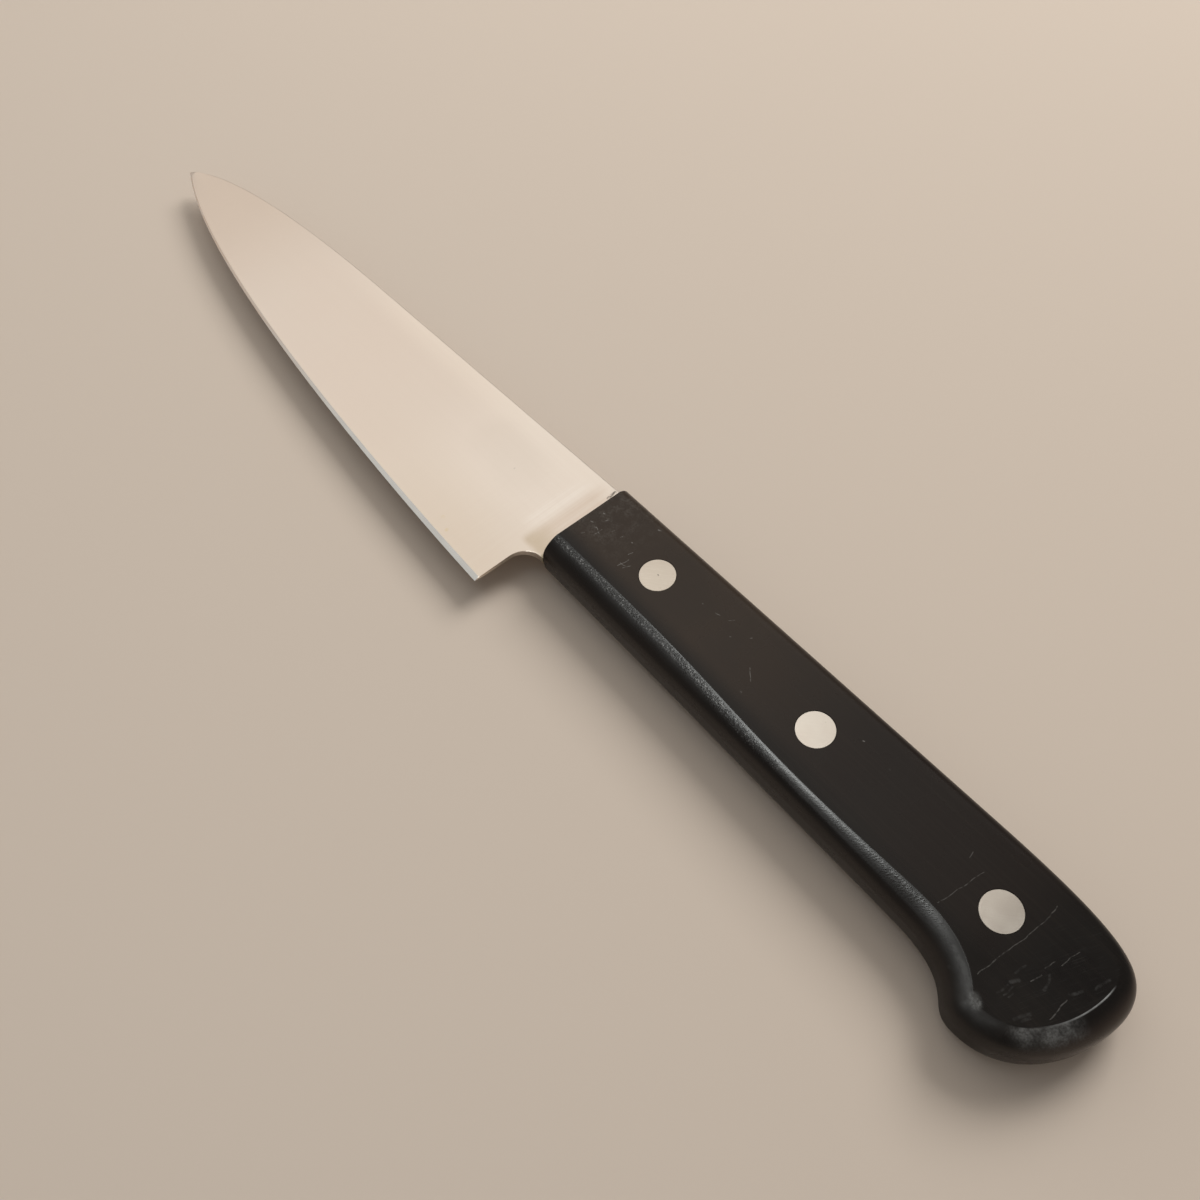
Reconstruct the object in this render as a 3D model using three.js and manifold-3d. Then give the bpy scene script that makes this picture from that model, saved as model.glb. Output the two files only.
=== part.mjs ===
// A petty knife lying on its side. A tapered steel blade runs back as a tang into a slot sawn along the spine of
// a one-piece black handle, and three two-piece rivets hold the two together.
// Millimetres. +X runs to the tip, +Y to the cutting edge and +Z up through the handle's upper flat.
// Until the last lines the origin lies on the handle's front face, on the rivets' line, at mid thickness.

import * as THREE from "three";
import { mergeVertices, toCreasedNormals } from "three/addons/utils/BufferGeometryUtils.js";
import Module from "manifold-3d";

// Handle: lengths along X, heights towards the spine and depths towards the belly from the rivets' line.
const HANDLE_LENGTH = 105.3;
const HANDLE_THICKNESS = 9.3;
const FRONT_SPINE_HEIGHT = 7.6;
const REAR_SPINE_HEIGHT = 9.8;
const SPINE_CURVE_LENGTH = 27.3;
const BUTT_POINT_HEIGHT = 1.8;
const HOOK_DEPTH = 14.3;
const HOOK_TO_BUTT = 13.3;
const WAIST_DEPTH = 9.6;
const WAIST_TO_HOOK = 14.1;
const FRONT_BELLY_DEPTH = 10.55;

// Handle rounding: how far the flat stays inside the outline, the slope that the round leaves the flat with, and
// how far below the flat it ends upright. The belly's round is tighter along the middle of the grip.
const BELLY_ROUNDING = 3.7;
const BELLY_CREASE = THREE.MathUtils.degToRad(14);
const BELLY_DROP = 3.7;
const GRIP_TIGHTENING = 1.05;
const GRIP_SETBACK = 56;
const GRIP_REACH = 34;
const HOOK_ROUNDING = 3.1;
const HOOK_CREASE = THREE.MathUtils.degToRad(4);
const BUTT_ROUNDING = 3.5;
const BUTT_CREASE = THREE.MathUtils.degToRad(17);
const BUTT_DROP = 4.5;
const SPINE_FILLET = 2.5;

// Blade: lengths along X from the handle's front face.
const BLADE_LENGTH = 131.3;
const BLADE_THICKNESS = 1.6;
const TIP_THICKNESS = 0.7;
const TIP_DEPTH = 7.1;
const HEEL_TO_HANDLE = 4.3;
const HEEL_DEPTH = 21.4;
const NOTCH_RADIUS = 3.9;
const SPINE_SLOPE = THREE.MathUtils.degToRad(2.72);
const SPINE_DROP_LENGTH = 61;
const TIP_SPINE_ANGLE = THREE.MathUtils.degToRad(43);
const TIP_EDGE_ANGLE = THREE.MathUtils.degToRad(25.2);

// Grind: the plunge between neck and wedge, the swell of the faces, the edge bevel and the eased spine.
const PLUNGE_START = 0.8;
const PLUNGE_LENGTH = 4;
const GRIND_SWELL = 0.05;
const EDGE_THICKNESS = 0.34;
const EDGE_BEVEL = 0.6;
const SPINE_CHAMFER = 0.15;
const TIP_BLUNTNESS = 0.25;
const TIP_FADE_HEIGHT = 1.6;

// Tang, inside the handle.
const TANG_DEPTH = 4.6;
const TANG_PAST_RIVET = 8;
const TANG_END_RADIUS = 3;

// Rivets.
const RIVET_HEAD_DIAMETER = 6;
const RIVET_HEAD_DEPTH = 2.3;
const RIVET_SLEEVE_DIAMETER = 4;
const RIVET_PIN_DIAMETER = 2.4;
const RIVET_PIN_CHAMFER = 0.3;
const FRONT_RIVET_SETBACK = 16.8;
const MIDDLE_RIVET_SETBACK = 52;
const REAR_RIVET_TO_BUTT = 18.9;

// Clearances: between fitted faces, and at the blind ends inside a rivet.
const FIT = 0.05;
const RIVET_END_GAP = 0.3;

// How far each curve of the outlines follows its end tangents, as shares of the length or height that it spans.
const CORNER_SPINE_PULL = 0.76;
const CORNER_BUTT_PULL = 0.9;
const BUTT_PULL = 0.465;
const HOOK_BUTT_PULL = 0.675;
const HOOK_WAIST_PULL = 0.34;
const WAIST_HOOK_PULL = 0.84;
const WAIST_BELLY_PULL = 0.2;
const DROP_SPINE_PULL = 0.5;
const DROP_TIP_PULL = 0.16;
const EDGE_HEEL_PULL = 0.24;
const EDGE_TIP_PULL = 0.22;

// Fineness of the curves.
const CURVE_STEPS = 14;
const ROUNDING_STEPS = 7;
const BLADE_STATIONS = 44;
const RIVET_SIDES = 48;
const HALVINGS = 40;
const CREASE_ANGLE = THREE.MathUtils.degToRad(18);

// Values that follow from the sizes above.
const HALF_HANDLE = HANDLE_THICKNESS / 2;
const HALF_BLADE = BLADE_THICKNESS / 2;
const HOOK_X = HOOK_TO_BUTT - HANDLE_LENGTH;
const WAIST_X = HOOK_X + WAIST_TO_HOOK;
const REAR_RIVET_X = REAR_RIVET_TO_BUTT - HANDLE_LENGTH;
const RIVET_PLACES = {
  front: -FRONT_RIVET_SETBACK,
  middle: -MIDDLE_RIVET_SETBACK,
  rear: REAR_RIVET_X,
};
const TANG_END_X = REAR_RIVET_X - TANG_PAST_RIVET;
const NECK_MIDDLE_X = PLUNGE_START / 2;
const OVERRUN = HANDLE_LENGTH;

const wasm = await Module();
wasm.setup();

function toSolid(geometry) {
  const bare = geometry.clone();
  bare.deleteAttribute("normal");
  bare.deleteAttribute("uv");
  const merged = mergeVertices(bare);
  return new wasm.Manifold(new wasm.Mesh({
    numProp: 3,
    vertProperties: new Float32Array(merged.attributes.position.array),
    triVerts: new Uint32Array(merged.index.array),
  }));
}

function toGeometry(solid) {
  const mesh = solid.getMesh();
  const geometry = new THREE.BufferGeometry();
  geometry.setAttribute("position", new THREE.BufferAttribute(new Float32Array(mesh.vertProperties), 3));
  geometry.setIndex(new THREE.BufferAttribute(new Uint32Array(mesh.triVerts), 1));
  return toCreasedNormals(geometry, CREASE_ANGLE);
}

// A plate of the given outline in the XY plane, centred on mid thickness.
function plate(shape, thickness) {
  const geometry = new THREE.ExtrudeGeometry(shape, {
    depth: thickness,
    bevelEnabled: false,
    curveSegments: CURVE_STEPS,
  });
  geometry.translate(0, 0, -thickness / 2);
  return geometry;
}

// A round solid about a line along Z, from a profile of [radius, height] pairs that starts and ends on the line.
function turned(profile) {
  const points = profile.map(([radius, height]) => new THREE.Vector2(radius, height));
  const geometry = new THREE.LatheGeometry(points, RIVET_SIDES);
  geometry.rotateX(Math.PI / 2);
  return geometry;
}

// A closed solid through rings with equal numbers of points, each turning counter-clockwise about the way the
// loft runs. It starts flat, and ends flat or in one end point. The function flatten gives a ring point's place
// in the plane of the ring.
function loft(rings, flatten, endPoint) {
  const count = rings[0].length;
  const points = rings.flat();
  const lastRing = (rings.length - 1) * count;
  const faces = [];
  for (let start = 0; start < lastRing; start += count) {
    for (let side = 0; side < count; side += 1) {
      const near = start + side;
      const next = start + ((side + 1) % count);
      faces.push(near, next, next + count, near, next + count, near + count);
    }
  }
  for (const [a, b, c] of THREE.ShapeUtils.triangulateShape(rings[0].map(flatten), [])) {
    faces.push(c, b, a);
  }
  if (endPoint) {
    for (let side = 0; side < count; side += 1) {
      faces.push(lastRing + side, lastRing + ((side + 1) % count), points.length);
    }
    points.push(endPoint);
  } else {
    for (const [a, b, c] of THREE.ShapeUtils.triangulateShape(rings.at(-1).map(flatten), [])) {
      faces.push(lastRing + a, lastRing + b, lastRing + c);
    }
  }
  const geometry = new THREE.BufferGeometry().setFromPoints(points);
  geometry.setIndex(faces);
  return geometry;
}

// The handle's outline at mid thickness, from the front of the spine round the butt to the front of the belly.
function handleOutline() {
  const buttX = -HANDLE_LENGTH;
  const spineEndX = buttX + SPINE_CURVE_LENGTH;
  const spineFall = (REAR_SPINE_HEIGHT - FRONT_SPINE_HEIGHT) / -spineEndX;
  const spineLead = CORNER_SPINE_PULL * SPINE_CURVE_LENGTH;
  const cornerLead = CORNER_BUTT_PULL * (REAR_SPINE_HEIGHT - BUTT_POINT_HEIGHT);
  const buttLead = BUTT_PULL * (HOOK_DEPTH + BUTT_POINT_HEIGHT);
  const outline = new THREE.Path();
  outline.moveTo(0, -FRONT_SPINE_HEIGHT);
  outline.lineTo(spineEndX, -REAR_SPINE_HEIGHT);
  outline.bezierCurveTo(
    spineEndX - spineLead, -REAR_SPINE_HEIGHT - spineLead * spineFall,
    buttX, -BUTT_POINT_HEIGHT - cornerLead,
    buttX, -BUTT_POINT_HEIGHT,
  );
  outline.bezierCurveTo(
    buttX, -BUTT_POINT_HEIGHT + buttLead,
    HOOK_X - HOOK_BUTT_PULL * HOOK_TO_BUTT, HOOK_DEPTH,
    HOOK_X, HOOK_DEPTH,
  );
  outline.bezierCurveTo(
    HOOK_X + HOOK_WAIST_PULL * WAIST_TO_HOOK, HOOK_DEPTH,
    WAIST_X - WAIST_HOOK_PULL * WAIST_TO_HOOK, WAIST_DEPTH,
    WAIST_X, WAIST_DEPTH,
  );
  outline.quadraticCurveTo(WAIST_X * (1 - WAIST_BELLY_PULL), WAIST_DEPTH, 0, FRONT_BELLY_DEPTH);
  return outline;
}

// How much tighter the belly's round is at a place along the handle.
function gripTightening(x) {
  const reach = Math.min(1, Math.abs(x + GRIP_SETBACK) / GRIP_REACH);
  return GRIP_TIGHTENING * Math.cos((Math.PI / 2) * reach) ** 2;
}

// The round of the lower side, from the belly to the hook.
function lowerRound(x) {
  const hook = 1 - THREE.MathUtils.smoothstep(x, HOOK_X, WAIST_X);
  return {
    rounding: THREE.MathUtils.lerp(BELLY_ROUNDING - gripTightening(x), HOOK_ROUNDING, hook),
    crease: THREE.MathUtils.lerp(BELLY_CREASE, HOOK_CREASE, hook),
    drop: BELLY_DROP,
  };
}

// The round at a point of the outline that faces the given way: it changes from the spine over the butt to the
// lower side.
function wallRound(point, outward) {
  const facing = outward.y * outward.y;
  const side = outward.y > 0 ? lowerRound(point.x) : { rounding: SPINE_FILLET, crease: 0, drop: SPINE_FILLET };
  return {
    rounding: THREE.MathUtils.lerp(BUTT_ROUNDING, side.rounding, facing),
    crease: THREE.MathUtils.lerp(BUTT_CREASE, side.crease, facing),
    drop: Math.min(HALF_HANDLE, THREE.MathUtils.lerp(BUTT_DROP, side.drop, facing)),
  };
}

// How far a round lies inside the outline at a height from mid thickness. It bows from the flat's border, where
// it has the slope of its crease, to the upright wall below it.
function roundInset({ rounding, crease, drop }, height) {
  const depth = HALF_HANDLE - Math.abs(height);
  const lead = rounding * Math.tan(crease);
  if (depth <= 0) {
    return rounding;
  }
  if (depth >= drop) {
    return 0;
  }
  const share = depth / (lead + Math.sqrt(lead * lead + (drop - 2 * lead) * depth));
  return rounding * (1 - share) ** 2;
}

// One ring of the handle. Its ends stay on the front face.
function handleRing(height) {
  const ring = [];
  for (const curve of handleOutline().curves) {
    const steps = curve.isLineCurve ? 1 : CURVE_STEPS;
    const first = ring.length ? 1 : 0;
    for (let step = first; step <= steps; step += 1) {
      const point = curve.getPoint(step / steps);
      const along = curve.getTangent(step / steps);
      const outward = new THREE.Vector2(-along.y, along.x);
      const inset = roundInset(wallRound(point, outward), height);
      const x = point.x === 0 ? 0 : point.x - inset * outward.x;
      ring.push(new THREE.Vector3(x, point.y - inset * outward.y, height));
    }
  }
  return ring.reverse();
}

function handleBlank() {
  const rings = [];
  for (let step = -ROUNDING_STEPS; step <= ROUNDING_STEPS; step += 1) {
    const height = HALF_HANDLE * Math.sin((step / ROUNDING_STEPS) * (Math.PI / 2));
    rings.push(handleRing(height));
  }
  return toSolid(loft(rings, (point) => new THREE.Vector2(point.x, point.y)));
}

// The tang's outline, or with a margin that of its slot, left long past the spine and past the front end.
function tangShape(frontX, margin) {
  const endX = TANG_END_X - margin;
  const depth = TANG_DEPTH + margin;
  const radius = TANG_END_RADIUS + margin;
  const shape = new THREE.Shape();
  shape.moveTo(frontX, -OVERRUN);
  shape.lineTo(frontX, depth);
  shape.lineTo(endX + radius, depth);
  shape.absarc(endX + radius, depth - radius, radius, Math.PI / 2, Math.PI, false);
  shape.lineTo(endX, -OVERRUN);
  shape.closePath();
  return shape;
}

// The round hole for a rivet right through the knife, with a flat-bottomed seat for each head.
function rivetHole(x) {
  const seat = HALF_HANDLE - RIVET_HEAD_DEPTH - FIT;
  const headRadius = RIVET_HEAD_DIAMETER / 2 + FIT;
  const sleeveRadius = RIVET_SLEEVE_DIAMETER / 2 + FIT;
  const hole = turned([
    [0, -HANDLE_THICKNESS],
    [headRadius, -HANDLE_THICKNESS],
    [headRadius, -seat],
    [sleeveRadius, -seat],
    [sleeveRadius, seat],
    [headRadius, seat],
    [headRadius, HANDLE_THICKNESS],
    [0, HANDLE_THICKNESS],
  ]);
  hole.translate(x, 0, 0);
  return toSolid(hole);
}

function cutRivetHoles(solid) {
  return Object.values(RIVET_PLACES).reduce((left, x) => left.subtract(rivetHole(x)), solid);
}

function handleGeometry() {
  const slot = toSolid(plate(tangShape(OVERRUN, FIT), BLADE_THICKNESS + 2 * FIT));
  return toGeometry(cutRivetHoles(handleBlank().subtract(slot)));
}

// The blade's spine after its straight stretch: the drop to the tip.
function spineDrop() {
  const startX = BLADE_LENGTH - SPINE_DROP_LENGTH;
  const startY = straightSpine(startX);
  const startLead = DROP_SPINE_PULL * SPINE_DROP_LENGTH;
  const tipLead = DROP_TIP_PULL * SPINE_DROP_LENGTH;
  return new THREE.CubicBezierCurve(
    new THREE.Vector2(startX, startY),
    new THREE.Vector2(startX + startLead * Math.cos(SPINE_SLOPE), startY + startLead * Math.sin(SPINE_SLOPE)),
    new THREE.Vector2(
      BLADE_LENGTH - tipLead * Math.cos(TIP_SPINE_ANGLE),
      TIP_DEPTH - tipLead * Math.sin(TIP_SPINE_ANGLE),
    ),
    new THREE.Vector2(BLADE_LENGTH, TIP_DEPTH),
  );
}

function straightSpine(x) {
  return x * Math.tan(SPINE_SLOPE) - FRONT_SPINE_HEIGHT;
}

function edgeCurve() {
  const heelLead = EDGE_HEEL_PULL * (BLADE_LENGTH - HEEL_TO_HANDLE);
  const tipLead = EDGE_TIP_PULL * (BLADE_LENGTH - HEEL_TO_HANDLE);
  return new THREE.CubicBezierCurve(
    new THREE.Vector2(HEEL_TO_HANDLE, HEEL_DEPTH),
    new THREE.Vector2(HEEL_TO_HANDLE + heelLead, HEEL_DEPTH),
    new THREE.Vector2(
      BLADE_LENGTH - tipLead * Math.cos(TIP_EDGE_ANGLE),
      TIP_DEPTH + tipLead * Math.sin(TIP_EDGE_ANGLE),
    ),
    new THREE.Vector2(BLADE_LENGTH, TIP_DEPTH),
  );
}

// The height in Y of a curve that runs forward in X, found by halving; it stays level behind the curve's start.
function heightAt(curve, x) {
  let before = 0;
  let after = 1;
  for (let halving = 0; halving < HALVINGS; halving += 1) {
    const middle = (before + after) / 2;
    if (curve.getPoint(middle).x < x) {
      before = middle;
    } else {
      after = middle;
    }
  }
  return curve.getPoint(before).y;
}

// One cross-section of the blade: from the cutting edge over the upper face, the spine and the lower face. It is
// full stock down to the neck's lower edge at the handle, and a wedge further on that shrinks with its height
// near the tip.
function bladeRing(x, spineCurve, cuttingCurve) {
  const spineY = x < spineCurve.v0.x ? straightSpine(x) : heightAt(spineCurve, x);
  const edgeY = heightAt(cuttingCurve, x);
  const height = edgeY - spineY;
  const fade = Math.min(1, height / TIP_FADE_HEIGHT);
  const neck = 1 - THREE.MathUtils.smoothstep(x, PLUNGE_START, PLUNGE_START + PLUNGE_LENGTH);
  const taper = THREE.MathUtils.lerp(BLADE_THICKNESS, TIP_THICKNESS, x / BLADE_LENGTH) / 2;
  const spineHalf = fade * THREE.MathUtils.lerp(taper, HALF_BLADE, neck);
  const edgeHalf = (fade * EDGE_THICKNESS) / 2;
  const neckShare = (FRONT_BELLY_DEPTH + FRONT_SPINE_HEIGHT) / (HEEL_DEPTH + FRONT_SPINE_HEIGHT);
  const wedgeHalf = THREE.MathUtils.lerp(spineHalf, edgeHalf, neckShare) + fade * GRIND_SWELL;
  const upper = [
    [edgeY - fade * EDGE_BEVEL, edgeHalf],
    [spineY + neckShare * height, THREE.MathUtils.lerp(wedgeHalf, HALF_BLADE, neck)],
    [spineY + fade * SPINE_CHAMFER, spineHalf],
    [spineY, spineHalf - (1 - neck) * fade * SPINE_CHAMFER],
  ];
  const lower = upper.map(([y, z]) => [y, -z]).reverse();
  return [[edgeY, 0], ...upper, ...lower].map(([y, z]) => new THREE.Vector3(x, y, z));
}

// The wedge from the neck to the tip, with stations closing up towards both ends.
function bladeBlank() {
  const spineCurve = spineDrop();
  const cuttingCurve = edgeCurve();
  const rings = [];
  for (let station = 0; station <= BLADE_STATIONS; station += 1) {
    const share = (1 - Math.cos((station / BLADE_STATIONS) * Math.PI)) / 2;
    const x = FIT + share * (BLADE_LENGTH - TIP_BLUNTNESS - FIT);
    rings.push(bladeRing(x, spineCurve, cuttingCurve));
  }
  const tip = new THREE.Vector3(BLADE_LENGTH, TIP_DEPTH, 0);
  return toSolid(loft(rings, (point) => new THREE.Vector2(point.y, point.z), tip));
}

// What is cut away behind the heel: an upright heel face and a fillet into the neck, level with the belly.
function heelNotch() {
  const shape = new THREE.Shape();
  shape.moveTo(-OVERRUN, FRONT_BELLY_DEPTH);
  shape.lineTo(HEEL_TO_HANDLE - NOTCH_RADIUS, FRONT_BELLY_DEPTH);
  shape.absarc(
    HEEL_TO_HANDLE - NOTCH_RADIUS, FRONT_BELLY_DEPTH + NOTCH_RADIUS,
    NOTCH_RADIUS, -Math.PI / 2, 0, false,
  );
  shape.lineTo(HEEL_TO_HANDLE, OVERRUN);
  shape.lineTo(-OVERRUN, OVERRUN);
  shape.closePath();
  return toSolid(plate(shape, HANDLE_THICKNESS));
}

// The tang, from inside the neck to its end, with its upper edge flush with the handle's spine.
function tangBlank() {
  const outline = new THREE.Shape(handleOutline().getPoints(CURVE_STEPS));
  outline.lineTo(NECK_MIDDLE_X, FRONT_BELLY_DEPTH);
  outline.lineTo(NECK_MIDDLE_X, straightSpine(NECK_MIDDLE_X));
  const inside = toSolid(plate(outline, BLADE_THICKNESS));
  return toSolid(plate(tangShape(NECK_MIDDLE_X, 0), BLADE_THICKNESS)).intersect(inside);
}

function bladeGeometry() {
  return toGeometry(cutRivetHoles(bladeBlank().subtract(heelNotch()).add(tangBlank())));
}

// The male half of a rivet, headed on the upper side.
function rivetPin() {
  const head = HALF_HANDLE - RIVET_HEAD_DEPTH;
  const radius = RIVET_PIN_DIAMETER / 2;
  const end = RIVET_END_GAP - head;
  return turned([
    [0, end],
    [radius - RIVET_PIN_CHAMFER, end],
    [radius, end + RIVET_PIN_CHAMFER],
    [radius, head],
    [RIVET_HEAD_DIAMETER / 2, head],
    [RIVET_HEAD_DIAMETER / 2, HALF_HANDLE],
    [0, HALF_HANDLE],
  ]);
}

// The female half of a rivet, headed on the lower side, with a blind bore for the pin.
function rivetSleeve() {
  const head = HALF_HANDLE - RIVET_HEAD_DEPTH;
  const bore = RIVET_PIN_DIAMETER / 2 + FIT;
  return turned([
    [0, -HALF_HANDLE],
    [RIVET_HEAD_DIAMETER / 2, -HALF_HANDLE],
    [RIVET_HEAD_DIAMETER / 2, -head],
    [RIVET_SLEEVE_DIAMETER / 2, -head],
    [RIVET_SLEEVE_DIAMETER / 2, head - RIVET_END_GAP],
    [bore, head - RIVET_END_GAP],
    [bore, -head],
    [0, -head],
  ]);
}

function steel() {
  return new THREE.MeshStandardMaterial({ color: 0xddcfbd, roughness: 0.34, metalness: 1 });
}

function blackWood() {
  return new THREE.MeshStandardMaterial({ color: 0x2a2623, roughness: 0.45, metalness: 0 });
}

function rivetMetal() {
  return new THREE.MeshStandardMaterial({ color: 0xd0c5b6, roughness: 0.28, metalness: 1 });
}

function piece(name, geometry, material) {
  const mesh = new THREE.Mesh(geometry, material);
  mesh.name = name;
  return mesh;
}

const knife = new THREE.Group();
knife.add(piece("blade", bladeGeometry(), steel()));
knife.add(piece("handle", handleGeometry(), blackWood()));
for (const [place, x] of Object.entries(RIVET_PLACES)) {
  const rivet = new THREE.Group();
  rivet.position.x = x;
  rivet.add(piece(`${place}_rivet_pin`, rivetPin(), rivetMetal()));
  rivet.add(piece(`${place}_rivet_sleeve`, rivetSleeve(), rivetMetal()));
  knife.add(rivet);
}

// The knife lies with the middle of its bounding box over the origin and the handle's lower flat at height 0.
const box = new THREE.Box3().setFromObject(knife);
const centre = box.getCenter(new THREE.Vector3());
knife.position.set(-centre.x, -centre.y, -box.min.z);

const part = new THREE.Group();
part.add(knife);

export default part;
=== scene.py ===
import math

import bmesh
import bpy
from mathutils import Matrix, Vector


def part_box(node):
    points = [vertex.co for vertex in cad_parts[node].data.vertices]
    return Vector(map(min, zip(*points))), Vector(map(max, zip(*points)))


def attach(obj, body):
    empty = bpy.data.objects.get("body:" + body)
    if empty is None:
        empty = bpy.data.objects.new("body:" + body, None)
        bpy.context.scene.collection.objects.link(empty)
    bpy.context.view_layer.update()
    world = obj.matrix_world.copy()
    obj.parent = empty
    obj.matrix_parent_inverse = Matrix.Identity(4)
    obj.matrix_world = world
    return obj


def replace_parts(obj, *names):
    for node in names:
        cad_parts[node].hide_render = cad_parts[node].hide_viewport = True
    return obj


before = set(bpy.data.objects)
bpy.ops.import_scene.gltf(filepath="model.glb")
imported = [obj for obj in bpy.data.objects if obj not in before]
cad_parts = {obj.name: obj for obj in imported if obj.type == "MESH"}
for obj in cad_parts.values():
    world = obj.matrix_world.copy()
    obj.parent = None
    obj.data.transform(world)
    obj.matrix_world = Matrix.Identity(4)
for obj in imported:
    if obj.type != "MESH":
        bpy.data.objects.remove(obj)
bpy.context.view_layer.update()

# The knife lies on its side: +X to the tip, +Y to the cutting edge, +Z up through the handle's upper flat.
# Pieces are drawn in millimetres from the handle's front face, the rivets' line and mid thickness, and then
# set into the part's frame, in metres, by the function in_frame.
MM = 0.001
HANDLE_LOW, HANDLE_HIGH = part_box("handle")
RIVET_NAMES = ("front", "middle", "rear")
RIVET_BOXES = [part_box(f"{name}_rivet_pin") for name in RIVET_NAMES]
RIVET_LINE = (RIVET_BOXES[0][0].y + RIVET_BOXES[0][1].y) / 2
ORIGIN = Vector((HANDLE_HIGH.x, RIVET_LINE, (HANDLE_LOW.z + HANDLE_HIGH.z) / 2))
RIVET_SETBACKS = [((low.x + high.x) / 2 - ORIGIN.x) / MM for low, high in RIVET_BOXES]

# Handle: lengths along X, heights towards the spine and depths towards the belly from the rivets' line.
HANDLE_LENGTH = (HANDLE_HIGH.x - HANDLE_LOW.x) / MM
HALF_HANDLE = (HANDLE_HIGH.z - HANDLE_LOW.z) / MM / 2
FRONT_SPINE_HEIGHT = 7.6
REAR_SPINE_HEIGHT = 9.8
SPINE_CURVE_LENGTH = 27.3
BUTT_POINT_HEIGHT = 1.8
HOOK_DEPTH = 14.3
HOOK_TO_BUTT = 13.3
WAIST_DEPTH = 9.6
WAIST_TO_HOOK = 14.1
FRONT_BELLY_DEPTH = 10.55
CORNER_SPINE_PULL = 0.76
CORNER_BUTT_PULL = 0.9
BUTT_PULL = 0.465
HOOK_BUTT_PULL = 0.675
HOOK_WAIST_PULL = 0.34
WAIST_HOOK_PULL = 0.84
WAIST_BELLY_PULL = 0.2
HOOK_X = HOOK_TO_BUTT - HANDLE_LENGTH
WAIST_X = HOOK_X + WAIST_TO_HOOK

# Handle rounding: how far the flat stays inside the outline, the slope that the round starts with there
# and how far below the flat it ends upright. The belly's round is tighter along the middle of the grip.
BELLY_ROUNDING = 3.7
BELLY_CREASE = math.radians(14)
BELLY_DROP = 3.7
GRIP_TIGHTENING = 1.05
GRIP_SETBACK = 56
GRIP_REACH = 34
HOOK_ROUNDING = 3.1
HOOK_CREASE = math.radians(4)
BUTT_ROUNDING = 3.5
BUTT_CREASE = math.radians(17)
BUTT_DROP = 4.5
SPINE_FILLET = 2.5
FLAT_EASE = 0.09
FRONT_EASE = 0.25

# Blade: lengths along X from the handle's front face.
BLADE_LENGTH = (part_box("blade")[1].x - ORIGIN.x) / MM
HALF_STOCK = 0.8
HALF_TIP = 0.35
TIP_DEPTH = 7.1
HEEL_TO_HANDLE = 4.3
HEEL_DEPTH = (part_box("blade")[1].y - ORIGIN.y) / MM
NOTCH_RADIUS = 3.9
SPINE_SLOPE = math.radians(2.72)
SPINE_DROP_LENGTH = 61
TIP_SPINE_ANGLE = math.radians(43)
TIP_EDGE_ANGLE = math.radians(25.2)
DROP_SPINE_PULL = 0.5
DROP_TIP_PULL = 0.16
EDGE_HEEL_PULL = 0.24
EDGE_TIP_PULL = 0.22
PLUNGE_START = 0.8
PLUNGE_LENGTH = 4
GRIND_SWELL = 0.05
HEEL_BEVEL = 0.95
TIP_BEVEL = 0.3
HONING_SLOPE = 0.28
STEEL_EASE = 0.12
EASE_LIMIT = 0.3
LEAST_SLANT = 0.2
LEAST_HEIGHT = 1e-6
TIP_FADE_HEIGHT = 1.6
TIP_BLUNTNESS = 0.12
FACE_STEEL, HONED_STEEL = 0, 1

# Tang and rivets.
TANG_DEPTH = 4.6
TANG_PAST_RIVETS = 8
TANG_END = RIVET_SETBACKS[-1] - TANG_PAST_RIVETS
TANG_END_RADIUS = 3
TANG_OVERLAP = 0.3
HEAD_RADIUS = (RIVET_BOXES[0][1].x - RIVET_BOXES[0][0].x) / MM / 2
HEAD_DEPTH = 2.3
SLEEVE_RADIUS = 2
PIN_RADIUS = 1.2
PIN_CHAMFER = 0.3
RIVET_END_GAP = 0.3
RIM_EASE = 0.06
HEAD_CROWN = 0.03
FIT = 0.05
RIVET_INPUTS = ("Half Height", "Head Radius", "Head Depth", "Rim Ease", "Crown", "Shank Radius",
                "Shank End", "Chamfer", "Bore Radius", "Bore Bottom", "Turn")

# Cutters, which run past the surfaces that they cut.
CUT_MARGIN = 1
SLOT_CUTTER_HEIGHT = 40

# Marks of use, and the hook's painted highlights, as starts and ends in X and Y with a width. A spot starts
# and ends almost in one place.
HANDLE_SCRATCHES = (
    ((-80.4, 5.5), (-81.4, -2.3), 0.08), ((-78.8, -2.4), (-78.7, -3.3), 0.08),
    ((-89.9, 8.4), (-90.9, -4.3), 0.09), ((-90.9, -4.3), (-90.4, -5.9), 0.09),
    ((-95.8, -0.5), (-96.2, -3.4), 0.08), ((-94.8, 1.4), (-94.9, -0.2), 0.08),
    ((-94.8, 4.0), (-95.0, 2.4), 0.1), ((-99.2, 5.7), (-99.0, 2.4), 0.1),
    ((-30.3, -2.9), (-30.8, -3.6), 0.1), ((-63.1, -3.6), (-63.2, -3.6), 0.16),
    ((-40.7, 4.1), (-40.8, 4.1), 0.16), ((-25.4, -1.7), (-25.5, -1.7), 0.14),
)
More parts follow.
